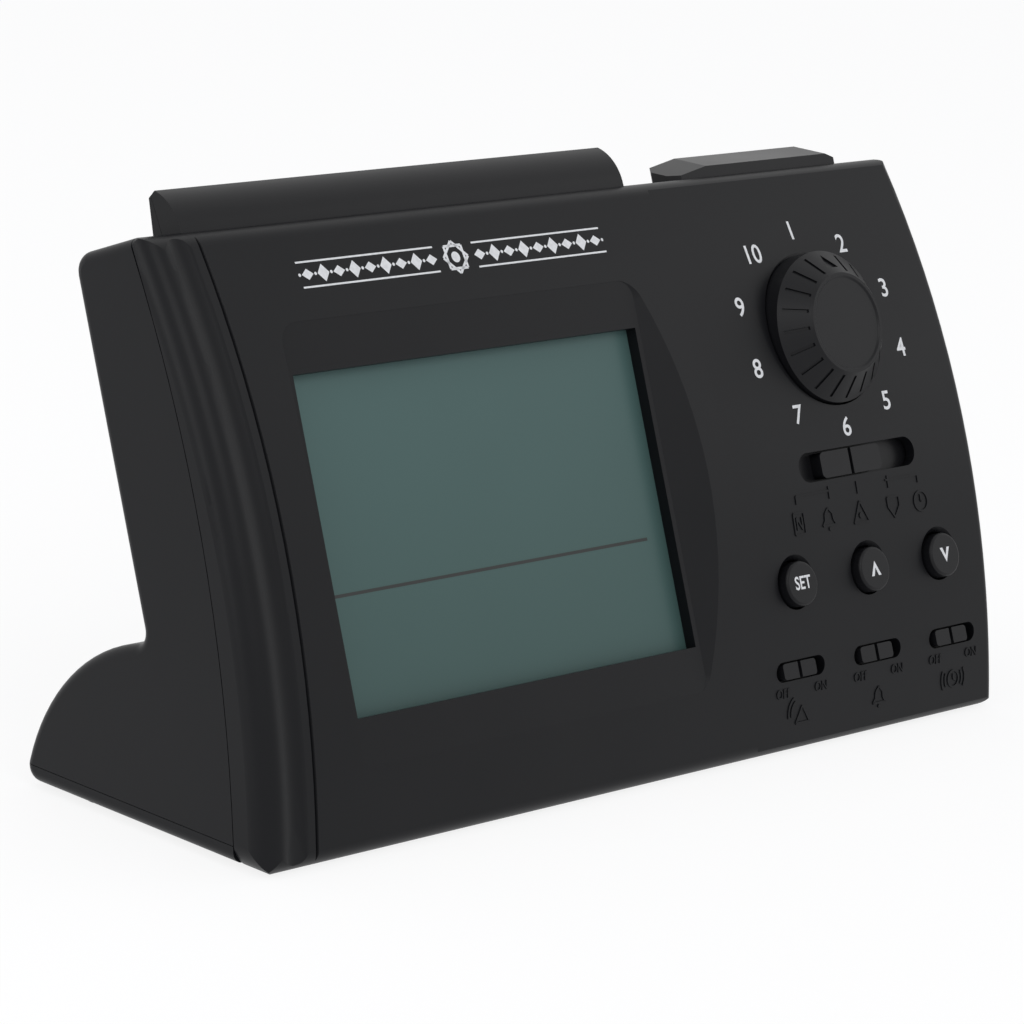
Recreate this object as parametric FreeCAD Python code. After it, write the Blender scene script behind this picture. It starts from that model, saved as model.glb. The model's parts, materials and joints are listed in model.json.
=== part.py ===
import FreeCAD, Part
import math
import os
from FreeCAD import Vector

# Azan clock: a leaning display case with a selector knob, switches, buttons,
# a snooze bar and a light key, and a battery bay in its foot.
# Millimetres. X runs to the viewer's right, Y to the back, Z up from the table.
# The face frame (x, w, v) leans back with the display: w is the depth behind
# the display opening, and v runs up the face.

# Case
display_left = 20.05
panel_width = 70.05
lean = 21.0
face_y = -13.65
face_z = 42.6
face_radius = 168.0
face_bulge = 3.1
face_apex_v = 0.4
top_v = 47.4
back_w = 19.4
wall = 2.0
face_round = 2.6
skin_sweep = 44.0
seam_radius = 211.0
seam_apex_w = 2.6
seam_apex_v = 9.3
seam_gap = 0.15
bulge_radius = 31.1
bulge_y = -4.25
bulge_z = -3.25
base_z = 0.7
base_thickness = 2.5
back_round = 3.0
foot_round = 2.5
nook_round = 2.0
side_round = 1.6
toe_corner_round = 3.6
join_gap = 0.1
slip = 0.3
press_gap = 0.05

# Pillar and lines on the face
groove_from_left = 10.0
groove_width = 0.6
groove_depth = 0.5
corner_round = 3.4
flute_radius = 4.0
flute_depth = 0.5
shoulder_round = 1.5
panel_edge = 58.1
panel_step = 0.25
ahead_of_face = 4.0
block_inset = 0.6

# Display
lcd_width = 70.9
lcd_height = 49.7
recess_floor_margin = 0.9
recess_left_margin = 3.2
recess_right_margin = 6.7
recess_height = 64.6
recess_corner = 3.0
backing_margin = 1.0
recess_mouth_over = 1.2
glass_border = 2.6
glass_thickness = 1.7
light_thickness = 3.0
holder_wall = 1.4
holder_ledge = 3.0
zebra_height = 1.6
zebra_edge = 0.2
zebra_inset = 2.0
zebra_space = 0.6

# Boards
board_w = 8.0
board_thickness = 1.6
board_left_margin = 13.0
board_right_margin = 4.5
board_bottom = -35.5
board_top = 36.0
boss_radius = 3.0
screw_radius = 1.25
screw_head_radius = 2.4
screw_head_height = 1.3
screw_bite = 4.0
board_screw_left = 15.7
board_screw_right = 59.0
board_screw_drop = 4.0
board_cross_reach = 1.4
board_cross_half = 0.3
board_cross_depth = 0.6

# Knob
knob_from_right = 29.5
knob_v = 20.55
knob_radius = 12.2
knob_cap_radius = 8.04
knob_side = 1.4
knob_height = 5.3
knob_skirt_wall = 1.5
knob_hub_radius = 5.0
knob_gap = 0.35
knob_mark_step = 18.0
knob_mark_width = 0.55
knob_mark_depth = 0.4
knob_cap_rim = 0.5
knob_cap_dish = 0.25
knob_cap_chamfer = 0.3
knob_roof = 2.2
knob_bore_roof = 2.6
bore_fit = 0.02
knob_pointer_half = 1.3
shaft_radius = 3.0
shaft_fit = 0.05
shaft_bite = 3.0
selector_size = 16.0
selector_height = 5.0
selector_neck = 0.5
selector_neck_wall = 1.4
pocket_plate = 1.7

# Sliders
mode_from_right = 28.55
mode_v = -0.95
mode_slot_length = 28.0
mode_slot_height = 4.7
mode_slider_length = 14.3
mode_slider_offset = -1.5
mode_sink = 0.25
mode_end_gap = 1.5
toggle_v = -31.6
toggle_from_right = 28.9
toggle_pitch = 18.5
toggle_count = 3
toggle_slot_length = 11.4
toggle_slot_height = 3.1
toggle_length = 7.6
toggle_offset = -0.7
toggle_proud = 0.25
toggle_end_gap = 0.6
slider_side_gap = 0.28
slider_notch = 0.7
slider_notch_depth = 0.6
slider_flange = 0.9
slider_flange_lip = 0.9
mode_flange_length = 29.6
toggle_flange_length = 12.8
slider_stem = 2.4
slider_stem_bite = 1.6
slider_corner_share = 0.22
switch_height = 3.6
mode_switch_width = 8.0
toggle_switch_width = 5.0
switch_slot_wall = 1.2

# Buttons
button_from_right = 29.6
button_pitch = 17.4
button_v = -18.5
button_radius = 3.56
button_hole_radius = 3.95
button_proud = 1.2
button_flange = 0.9
button_flange_height = 0.8
button_stem_radius = 1.6
button_travel = 0.8
button_rim_round = 0.5
button_cap_round = 0.45
tact_size = 6.0
tact_height = 2.6
tact_plunger_radius = 1.3
tact_plunger_height = 0.7

# Snooze bar and light key
bar_from_left = 9.0
bar_length = 91.0
bar_front_w = 5.35
bar_depth = 6.4
bar_height = 6.8
bar_crest_w = 9.3
bar_shoulder_in = 0.17
bar_shoulder_up = 0.58
bar_rear_in = 1.0
bar_rear_drop = 0.8
bar_split_foot = 4.0
bar_press_inset = 20.0
key_gap = 12.5
key_from_right = 8.6
key_front_w = 6.1
key_depth = 6.4
key_height = 1.8
key_corner = 1.6
key_left_slope = 7.7
key_right_slope = 3.4
key_end_drop = 1.3
top_flange = 0.9
top_flange_lip = 1.2
top_travel = 1.2
pin_radius = 1.6
pin_gap = 0.1
top_clearance = 0.22
top_board_front = 8.0
top_board_depth = 7.4
top_board_left_margin = 16.5
top_board_right_margin = 14.5
top_post = 2.6
rib_thickness = 3.0
rib_height = 2.0
rib_reach = 4.0
rib_inset = 4.0

# Batteries
cell_radius = 7.1
cell_length = 50.0
cell_pitch_y = 14.8
cell_back_y = 10.05
cell_z = 10.9
cell_gap_x = 1.5
cell_nub_radius = 2.6
cell_nub = 1.2
contact_room = 2.4
tray_clearance = 0.15
tray_wall = 0.8
tray_end = 1.2
spring_radius = 3.4
spring_taper = 1.0
contact_size = 9.0
contact_bump = 2.0
contact_thickness = 0.5
door_margin_x = 2.5
door_front_y = -13.35
door_back_y = 18.45
door_gap = 0.25
door_tab_length = 14.0
door_tab = 1.6
door_grip_radius = 5.0
door_grip_depth = 0.6

# Speaker
speaker_from_right = 36.5
speaker_v = 14.0
speaker_radius = 17.0
speaker_height = 3.8
speaker_wall = 1.6
speaker_rim = 3.0
magnet_radius = 8.5
magnet_height = 2.4
cone_thickness = 0.5
cone_throat = 5.0
basket_floor = 0.8
grille_slots = 9
grille_pitch = 3.3
grille_slot_height = 1.5
grille_radius = 14.5

# Case screws and feet
case_screw_inset = 6.9
case_screw_high_v = 39.0
case_screw_low_v = 6.0
case_screw_radius = 1.4
case_boss_radius = 3.1
case_screw_head_radius = 2.7
case_screw_head = 1.8
case_screw_bite = 4.4
case_screw_sunk = 0.6
case_cross_reach = 1.6
case_cross_half = 0.35
case_cross_depth = 0.8
foot_radius = 2.1
foot_inset = 4.4
foot_y = 13.85
foot_sunk = 0.8

case_width = display_left + lcd_width + panel_width
half_width = case_width / 2
lcd_x = display_left + lcd_width / 2 - half_width
knob_x = half_width - knob_from_right
mode_x = half_width - mode_from_right
toggle_x = half_width - toggle_from_right
button_x = half_width - button_from_right
speaker_x = half_width - speaker_from_right
foot_x = half_width - foot_inset
board_left = board_left_margin - half_width
board_right = half_width - board_right_margin
bar_left = bar_from_left - half_width
bar_right = bar_left + bar_length
bar_presses = [bar_left + bar_press_inset, bar_right - bar_press_inset]
key_left = bar_right + key_gap
key_right = half_width - key_from_right
key_middle = (key_left + key_right) / 2
top_board_left = top_board_left_margin - half_width
top_board_right = half_width - top_board_right_margin
rib_places = [top_board_left + rib_inset, (top_board_left + top_board_right) / 2, top_board_right - rib_inset]
board_screw_v = lcd_height / 2 + glass_border + holder_wall + boss_radius + 2 * slip
board_screw_places = [(board_screw_left - half_width, board_screw_v),
                      (board_screw_left - half_width, -board_screw_v),
                      (half_width - board_screw_right, board_screw_v),
                      (button_x - button_pitch / 2, button_v - board_screw_drop)]
case_screw_x = half_width - case_screw_inset
case_screw_places = [(-case_screw_x, case_screw_high_v), (-case_screw_x, case_screw_low_v),
                     (case_screw_x, case_screw_high_v), (case_screw_x, case_screw_low_v)]
lean_cos = math.cos(math.radians(lean))
lean_sin = math.sin(math.radians(lean))
x_axis = Vector(1, 0, 0)
nodes = {}


def face_w(v):
    """Depth of the curved face at height v."""
    return face_radius - face_bulge - math.sqrt(face_radius ** 2 - (v - face_apex_v) ** 2)


def seam_w(v):
    """Depth of the joint between the front and rear cases at height v."""
    return seam_apex_w + seam_radius - math.sqrt(seam_radius ** 2 - (v - seam_apex_v) ** 2)


def world(x, w, v):
    """A point of the face frame in the part's frame."""
    y = face_y + w * lean_cos + v * lean_sin
    z = face_z + v * lean_cos - w * lean_sin
    return Vector(x, y, z)


def lean_back(shape):
    """A shape drawn in the face frame, moved into the part's frame."""
    moved = shape.copy()
    moved.rotate(Vector(0, 0, 0), x_axis, -lean)
    moved.translate(Vector(0, face_y, face_z))
    return moved


def height_where(depth_of, z):
    """The v at which a curve of the profile reaches the height z."""
    v = (z - face_z) / lean_cos
    for _ in range(40):
        v = (z - face_z + depth_of(v) * lean_sin) / lean_cos
    return v


def face_box(x0, x1, w0, w1, v0, v1):
    """A box in the face frame."""
    return Part.makeBox(x1 - x0, w1 - w0, v1 - v0, Vector(x0, w0, v0))


def face_cylinder(x, v, radius, w0, w1):
    """A cylinder square to the display, from depth w0 to w1."""
    return Part.makeCylinder(radius, w1 - w0, Vector(x, w0, v), Vector(0, 1, 0))


def stadium(x, v, length, height, w0, w1):
    """A slot-shaped prism with round ends, square to the display."""
    radius = height / 2
    reach = length / 2 - radius
    low_left = Vector(x - reach, w0, v - radius)
    low_right = Vector(x + reach, w0, v - radius)
    high_right = Vector(x + reach, w0, v + radius)
    high_left = Vector(x - reach, w0, v + radius)
    right_end = Part.Arc(low_right, Vector(x + reach + radius, w0, v), high_right).toShape()
    left_end = Part.Arc(high_left, Vector(x - reach - radius, w0, v), low_left).toShape()
    bottom = Part.LineSegment(low_left, low_right).toShape()
    top = Part.LineSegment(high_right, high_left).toShape()
    outline = Part.Wire([bottom, right_end, top, left_end])
    return Part.Face(outline).extrude(Vector(0, w1 - w0, 0))


def arc_edge(start, middle, end):
    return Part.Arc(start, middle, end).toShape()


def line_edge(start, end):
    return Part.LineSegment(start, end).toShape()


def prism(edges, length):
    """A closed outline in a plane of constant x, drawn out along X."""
    return Part.Face(Part.Wire(edges)).extrude(Vector(length, 0, 0))


def curve_edge(depth_of, x, v0, v1, offset=0.0):
    """An arc of the face or the seam between two heights."""
    middle = (v0 + v1) / 2
    points = [world(x, depth_of(v) + offset, v) for v in (v0, middle, v1)]
    return arc_edge(*points)


def bulge_point(radius, x, angle):
    """A point of the rounded foot, at an angle up from the back."""
    y = bulge_y + radius * math.cos(math.radians(angle))
    z = bulge_z + radius * math.sin(math.radians(angle))
    return Vector(x, y, z)


def bulge_angle_at_height(radius, z):
    return math.degrees(math.asin((z - bulge_z) / radius))


def bulge_angle_at_back(radius, depth):
    """Where the rounded foot meets the back plane at that depth."""
    start = world(0, depth, 0)
    dy = start.y - bulge_y
    dz = start.z - bulge_z
    along = dy * lean_sin + dz * lean_cos
    across = dy * lean_cos - dz * lean_sin
    run = math.sqrt(radius ** 2 - across ** 2) - along
    y = dy + run * lean_sin
    z = dz + run * lean_cos
    return math.degrees(math.atan2(z, y))


def front_profile(x, length, inset, reach, low_z, high_v):
    """Side outline of the front case: its face inset, and open by reach behind the seam."""

    def skin(v):
        return face_w(v) + inset

    def behind(v):
        return seam_w(v) + reach

    v_low = height_where(skin, low_z)
    v_back = height_where(behind, low_z)
    face = curve_edge(skin, x, v_low, high_v)
    top = line_edge(world(x, skin(high_v), high_v), world(x, behind(high_v), high_v))
    back = curve_edge(behind, x, high_v, v_back)
    bottom = line_edge(world(x, behind(v_back), v_back), world(x, skin(v_low), v_low))
    return prism([face, top, back, bottom], length)


def skin_point(x, radius):
    """A point of the face's cross-section, at a distance from the axis of its curve."""
    return Vector(x, face_radius - face_bulge - radius, face_apex_v)


def circle_point(x, radius, reach, angle):
    """A point of a small circle in the cross-section, at an angle in degrees."""
    turn = math.radians(angle)
    return skin_point(x + reach * math.cos(turn), radius + reach * math.sin(turn))


def cross_arc(x, radius, reach, start, end):
    points = [circle_point(x, radius, reach, angle) for angle in (start, (start + end) / 2, end)]
    return arc_edge(*points)


def build_skin():
    """The curved face swept about its axis: corner rolls, flute, groove and panel step."""
    left = -half_width
    right = half_width
    panel_radius = face_radius - panel_step
    roll_x = left + corner_round
    roll_r = face_radius - corner_round
    shoulder_r = face_radius - shoulder_round
    flute_r = face_radius + flute_radius - flute_depth
    rise = flute_r - roll_r
    flute_x = roll_x + math.sqrt((flute_radius + corner_round) ** 2 - rise ** 2)
    roll_end = math.degrees(math.atan2(rise, flute_x - roll_x))
    drop = flute_r - shoulder_r
    shoulder_x = flute_x + math.sqrt((flute_radius + shoulder_round) ** 2 - drop ** 2)
    tangent = math.degrees(math.atan2(drop, flute_x - shoulder_x))
    groove_x = left + groove_from_left
    panel_x = right - panel_edge
    depth = 4 * wall
    edges = [
        cross_arc(roll_x, roll_r, corner_round, 180.0, roll_end),
        cross_arc(flute_x, flute_r, flute_radius, roll_end + 180.0, tangent + 180.0),
        cross_arc(shoulder_x, shoulder_r, shoulder_round, tangent, 90.0),
    ]
    corners = [
        skin_point(shoulder_x, face_radius),
        skin_point(groove_x - groove_width / 2, face_radius),
        skin_point(groove_x, face_radius - groove_depth),
        skin_point(groove_x + groove_width / 2, face_radius),
        skin_point(panel_x, face_radius),
        skin_point(panel_x + panel_step, panel_radius),
        skin_point(right - side_round, panel_radius),
    ]
    for start, end in zip(corners, corners[1:]):
        edges.append(line_edge(start, end))
    edges.append(cross_arc(right - side_round, panel_radius - side_round, side_round, 90.0, 0.0))
    closing = [
        skin_point(right, panel_radius - side_round),
        skin_point(right, face_radius - depth),
        skin_point(left, face_radius - depth),
        skin_point(left, roll_r),
    ]
    for start, end in zip(closing, closing[1:]):
        edges.append(line_edge(start, end))
    joined = Part.Wire(Part.sortEdges(edges)[0])
    section = Part.Face(joined)
    axis_point = Vector(0, face_radius - face_bulge, face_apex_v)
    section.rotate(axis_point, x_axis, -skin_sweep / 2)
    return lean_back(section.revolve(axis_point, x_axis, skin_sweep))


def rounding_bar(corner, first, second, outside):
    """What a rounded edge takes off: a bar along X between an arc and its corner."""
    half_angle = (first - corner).getAngle(second - corner) / 2
    share = math.sin(half_angle) / (1 + math.sin(half_angle))
    middle = (first + second) * 0.5
    arc_middle = middle + (corner - middle) * share
    edges = [
        arc_edge(first, arc_middle, second),
        line_edge(second, second + outside),
        line_edge(second + outside, corner + outside * 2),
        line_edge(corner + outside * 2, first + outside),
        line_edge(first + outside, first),
    ]
    bar = prism(edges, case_width + 4.0)
    bar.translate(Vector(-half_width - 2.0, 0, 0))
    return bar


def front_edge_bars():
    """The bars that round the face's top edge and its bottom edge."""
    brow_v = top_v - face_round
    brow = world(0, face_w(top_v), top_v)
    brow_face = world(0, face_w(brow_v), brow_v)
    brow_top = world(0, face_w(top_v) + face_round, top_v)
    v_toe = height_where(face_w, 0.0)
    v_above = height_where(face_w, face_round)
    toe = world(0, face_w(v_toe), v_toe)
    toe_face = world(0, face_w(v_above), v_above)
    toe_under = Vector(0, toe.y + face_round, 0)
    return [
        rounding_bar(brow, brow_face, brow_top, world(0, -1, 1) - world(0, 0, 0)),
        rounding_bar(toe, toe_under, toe_face, Vector(0, -1, -1)),
    ]


def corner_bars():
    """The bars that round the four corners of the front view."""
    bars = []
    long = 4 * back_w
    for side in (-1, 1):
        for v, radius, up in ((top_v, side_round, 1), (0.0, toe_corner_round, -1)):
            middle = Vector(side * (half_width - radius), -long / 2, v - up * radius)
            corner = Part.makeBox(radius + 1.0, long, radius + 1.0, Vector(0, 0, 0))
            corner.translate(Vector(middle.x - (radius + 1.0 if side < 0 else 0.0), middle.y,
                                    middle.z - (radius + 1.0 if up < 0 else 0.0)))
            bar = corner.cut(Part.makeCylinder(radius, long, middle, Vector(0, 1, 0)))
            bars.append(lean_back(bar) if up > 0 else bar)
    return bars


def rear_profile(x, length, inset, reach, low_z):
    """Side outline of the rear case and its foot, inset by the wall."""
    high_v = top_v - inset
    depth = back_w - inset
    radius = bulge_radius - inset

    def joint(v):
        return seam_w(v) + reach

    v_low = height_where(joint, low_z)
    nook = bulge_angle_at_back(radius, depth)
    heel = bulge_angle_at_height(radius, low_z)
    top_front = world(x, joint(high_v), high_v)
    top_back = world(x, depth, high_v)
    nook_point = bulge_point(radius, x, nook)
    heel_point = bulge_point(radius, x, heel)
    low_front = world(x, joint(v_low), v_low)
    seam = curve_edge(joint, x, v_low, high_v)
    top = line_edge(top_front, top_back)
    back = line_edge(top_back, nook_point)
    bulge = arc_edge(nook_point, bulge_point(radius, x, (nook + heel) / 2), heel_point)
    bottom = line_edge(heel_point, low_front)
    return prism([seam, top, back, bulge, bottom], length)


def edges_along_x(shape, y, z, reach):
    """Edges that run along X and pass near a point of the side view."""
    found = []
    for edge in shape.Edges:
        box = edge.BoundBox
        if box.XLength < case_width / 2:
            continue
        if abs(box.YMin - y) < reach and abs(box.ZMin - z) < reach:
            found.append(edge)
    return found


def group(shapes):
    return shapes[0] if len(shapes) == 1 else Part.makeCompound(shapes)


def keep(name, shape):
    nodes[name] = shape


# Shared places worked out from the dimensions above
glass_w = wall + press_gap
light_w = glass_w + glass_thickness + press_gap
board_back_w = board_w + board_thickness
knob_face_w = face_w(knob_v)
toggle_places = [toggle_x + toggle_pitch * (i - 1) for i in range(toggle_count)]
button_places = [button_x + button_pitch * (i - 1) for i in range(3)]
button_names = ["set_button", "up_button", "down_button"]
toggle_names = ["left_toggle", "middle_toggle", "right_toggle"]
bar_back_w = bar_front_w + bar_depth
key_back_w = key_front_w + key_depth
inner_top_v = top_v - wall
top_board_v = inner_top_v - slip - top_flange - top_travel - top_post - tact_height
top_board_back = top_board_front + top_board_depth
base_top = base_z + base_thickness
cell_rows = [cell_back_y, cell_back_y - cell_pitch_y]
bay_half = cell_length + cell_nub + cell_gap_x + contact_room
door_half = bay_half + door_margin_x


def knob_pocket_w():
    """Depth of the flat floor that the knob turns above."""
    return face_w(knob_v + knob_radius) + knob_gap


def bar_outline(x, grow, low_v):
    """Side outline of the snooze bar, grown by a clearance."""
    front = bar_front_w - grow
    back = bar_back_w + grow
    high = top_v + bar_height + grow
    crest = Vector(x, bar_crest_w, high)
    foot = Vector(x, front, top_v)
    shoulder = Vector(x, bar_front_w + bar_depth * bar_shoulder_in - grow,
                      top_v + bar_height * bar_shoulder_up)
    rear_top = Vector(x, back - bar_rear_in, high - bar_rear_drop)
    edges = [
        line_edge(Vector(x, front, low_v), foot),
        arc_edge(foot, shoulder, crest),
        line_edge(crest, rear_top),
        line_edge(rear_top, Vector(x, back, low_v)),
        line_edge(Vector(x, back, low_v), Vector(x, front, low_v)),
    ]
    return edges


def top_opening(left, length, front, back):
    """The hole in the case's top that a key moves in."""
    grow = top_clearance
    return face_box(left - grow, left + length + grow, front - grow, back + grow,
                    inner_top_v - 4.0, top_v + 3.0)


def build_front_case():
    room = front_profile(-half_width - 1.0, case_width + 2.0, -ahead_of_face, 0.0, 0.0, top_v)
    outer = build_skin().common(room)
    outer = outer.cut(front_edge_bars() + corner_bars())
    inner = front_profile(-half_width + wall, case_width - 2 * wall, wall, 5.0, wall, top_v - wall)
    shell = outer.cut(inner)

    # Blocks behind the display, the knob and the screws
    recess_x0 = lcd_x - lcd_width / 2 - recess_left_margin
    recess_x1 = lcd_x + lcd_width / 2 + recess_right_margin
    reach_v = recess_height / 2 + backing_margin
    backing = face_box(recess_x0 - backing_margin, recess_x1 + backing_margin,
                       face_w(0.0) + block_inset, wall, -reach_v, reach_v)
    pocket_w = knob_pocket_w()
    knob_plate = face_cylinder(knob_x, knob_v, knob_radius + knob_gap + wall,
                               knob_face_w + block_inset, pocket_w + pocket_plate)
    added = [backing, knob_plate]
    for x, v in board_screw_places:
        added.append(face_cylinder(x, v, boss_radius, face_w(v) + block_inset, board_w))
    for x, v in case_screw_places:
        added.append(face_cylinder(x, v, case_boss_radius, face_w(v) + block_inset, board_w))
    behind_face = front_profile(-half_width, case_width, block_inset, board_w, 0.0, top_v)
    inside = [lean_back(shape).common(behind_face) for shape in added]
    solid = shell.fuse(inside)

    cuts = [display_recess()]
    cuts.append(face_box(lcd_x - lcd_width / 2, lcd_x + lcd_width / 2, -2.0, wall + 1.0,
                         -lcd_height / 2, lcd_height / 2))
    cuts.append(face_cylinder(knob_x, knob_v, knob_radius + knob_gap, -6.0, pocket_w))
    cuts.append(face_cylinder(knob_x, knob_v, shaft_radius + 1.0, -6.0, board_w))
    cuts.append(stadium(mode_x, mode_v, mode_slot_length, mode_slot_height, -6.0, 3.0))
    for x in toggle_places:
        cuts.append(stadium(x, toggle_v, toggle_slot_length, toggle_slot_height, -6.0, 5.0))
    for x in button_places:
        cuts.append(button_hole(x))
    for x, v in board_screw_places:
        cuts.append(face_cylinder(x, v, screw_radius, board_w - screw_bite, board_w + 1.0))
    for x, v in case_screw_places:
        cuts.append(face_cylinder(x, v, case_screw_radius, board_w - case_screw_bite, board_w + 1.0))
    cuts.append(top_opening(bar_left, bar_length, bar_front_w, bar_back_w))
    cuts.append(top_opening(key_left, key_right - key_left, key_front_w, key_back_w))
    solid = solid.cut([lean_back(shape) for shape in cuts])
    return solid.removeSplitter()


def display_recess():
    """The flat-floored hollow round the display, with side walls that slope out."""
    x0 = lcd_x - lcd_width / 2
    x1 = lcd_x + lcd_width / 2
    height = face_bulge + recess_mouth_over
    rise = height / face_bulge

    def outline(w, left, right, half):
        corner = recess_corner
        points = [Vector(left, w, -half), Vector(right, w, -half),
                  Vector(right, w, half), Vector(left, w, half)]
        rectangle = Part.Face(Part.makePolygon(points + [points[0]]))
        block = rectangle.extrude(Vector(0, 1.0, 0))
        upright = [edge for edge in block.Edges if edge.BoundBox.YLength > 0.9]
        block = block.makeFillet(corner, upright)
        for face in block.Faces:
            if abs(face.BoundBox.YMax - w) < 1e-6:
                return face.OuterWire

    left_in = x0 - recess_floor_margin
    right_in = x1 + recess_floor_margin
    left_out = left_in - (recess_left_margin - recess_floor_margin) * rise
    right_out = right_in + (recess_right_margin - recess_floor_margin) * rise
    half = recess_height / 2
    floor = outline(0.0, left_in, right_in, half)
    mouth = outline(-height, left_out, right_out, half)
    return Part.makeLoft([floor, mouth], True, True)


def button_hole(x):
    """A round hole whose rim is rounded over."""
    surface = face_w(button_v)
    hole = face_cylinder(x, button_v, button_hole_radius, surface - 4.0, surface + 6.0)
    flare = Part.makeCone(button_hole_radius + button_rim_round + 1.0, button_hole_radius,
                          button_rim_round + 1.0, Vector(x, surface - 1.0, button_v), Vector(0, 1, 0))
    return hole.fuse(flare)


def rear_outer():
    """The outside of the rear case and base plate together."""
    outer = rear_profile(-half_width, case_width, 0.0, seam_gap, base_z)
    nook = bulge_point(bulge_radius, 0, bulge_angle_at_back(bulge_radius, back_w))
    heel = bulge_point(bulge_radius, 0, bulge_angle_at_height(bulge_radius, base_z))
    top_back = world(0, back_w, top_v)
    for point, radius in ((top_back, back_round), (heel, foot_round), (nook, nook_round)):
        outer = outer.makeFillet(radius, edges_along_x(outer, point.y, point.z, 0.3))
    rim = []
    for edge in outer.Edges:
        box = edge.BoundBox
        if box.XLength > 0.01:
            continue
        middle = edge.valueAt((edge.FirstParameter + edge.LastParameter) / 2)
        dy = middle.y - face_y
        dz = middle.z - face_z
        depth = dy * lean_cos - dz * lean_sin
        v = dy * lean_sin + dz * lean_cos
        if abs(depth - seam_w(v) - seam_gap) > 0.1:
            rim.append(edge)
    return outer.makeFillet(side_round, rim)


def build_rear_shells():
    outer = rear_outer()
    depth = 3 * bulge_radius + back_w
    corner = Vector(-half_width - 1.0, -depth / 2, 0)
    split = Part.makeBox(case_width + 2.0, depth, base_top, corner)
    gap = Part.makeBox(case_width + 2.0, depth, join_gap, corner + Vector(0, 0, base_top))
    case = outer.cut([split, gap])
    plate = outer.common(split)
    inner = rear_profile(-half_width + wall, case_width - 2 * wall, wall, -5.0, base_z - 1.0)
    case = case.cut(inner)
    added = []
    for x, v in case_screw_places:
        added.append(face_cylinder(x, v, case_boss_radius, board_w + slip, back_w - 1.0))
    for x in rib_places:
        added.append(face_box(x - rib_thickness / 2, x + rib_thickness / 2, top_board_back - rib_reach,
                              back_w - 1.0, top_board_v - board_thickness - rib_height,
                              top_board_v - board_thickness))
    ring = face_cylinder(speaker_x, speaker_v, speaker_radius + slip + speaker_wall,
                         back_w - wall - speaker_height, back_w - 1.0)
    ring = ring.cut(face_cylinder(speaker_x, speaker_v, speaker_radius + press_gap,
                                  0.0, back_w - wall))
    added.append(ring)
    case = case.fuse([lean_back(shape) for shape in added])
    cuts = []
    for x, v in case_screw_places:
        cuts.append(face_cylinder(x, v, case_screw_radius + 0.1, 0.0, back_w + 1.0))
        cuts.append(face_cylinder(x, v, case_screw_head_radius + 0.3,
                                  back_w - case_screw_head - case_screw_sunk, back_w + 1.0))
    cuts.extend(grille())
    cuts.append(top_opening(bar_left, bar_length, bar_front_w, bar_back_w))
    cuts.append(top_opening(key_left, key_right - key_left, key_front_w, key_back_w))
    case = case.cut([lean_back(shape) for shape in cuts])
    return case.removeSplitter(), plate


def grille():
    """Rows of slots in front of the speaker, shorter towards the rim."""
    slots = []
    for i in range(grille_slots):
        offset = (i - (grille_slots - 1) / 2) * grille_pitch
        half = math.sqrt(grille_radius ** 2 - offset ** 2)
        slots.append(stadium(speaker_x, speaker_v + offset, 2 * half, grille_slot_height,
                             back_w - wall - 1.0, back_w + 1.0))
    return slots


def build_base_plate(plate):
    """The bottom cover, open for the battery door and hollowed for the feet."""
    barrel = base_thickness / 2
    below = base_z - 1.0
    through = base_thickness + 2.0
    opening = Part.makeBox(2 * (door_half + door_gap), door_back_y - door_front_y + barrel + 2 * door_gap,
                           through, Vector(-door_half - door_gap, door_front_y - barrel - door_gap, below))
    tab = Part.makeBox(door_tab_length + 2 * door_gap, door_tab + door_gap, through,
                       Vector(-door_tab_length / 2 - door_gap, door_back_y + door_gap, below))
    cuts = [opening.fuse(tab)]
    for side in (-1, 1):
        cuts.append(Part.makeCylinder(foot_radius + press_gap, foot_sunk + 1.0,
                                      Vector(side * foot_x, foot_y, below)))
    return plate.cut(cuts).removeSplitter()


def build_battery_door():
    """A flat lid with a round hinge edge in front and a finger tab behind."""
    barrel = base_thickness / 2
    slab = Part.makeBox(2 * door_half, door_back_y - door_front_y, base_thickness - join_gap,
                        Vector(-door_half, door_front_y, base_z + join_gap / 2))
    edge = Part.makeCylinder(barrel - join_gap / 2, 2 * door_half,
                             Vector(-door_half, door_front_y, base_z + barrel), x_axis)
    tab = Part.makeBox(door_tab_length, door_tab + 1.0, barrel,
                       Vector(-door_tab_length / 2, door_back_y - 1.0, base_z + barrel - join_gap / 2))
    grip = Part.makeCylinder(door_grip_radius, door_grip_depth + 1.0,
                             Vector(0, door_back_y - door_grip_radius / 2, base_z - 1.0))
    return slab.cut(grip).fuse([edge, tab]).removeSplitter()


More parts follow.
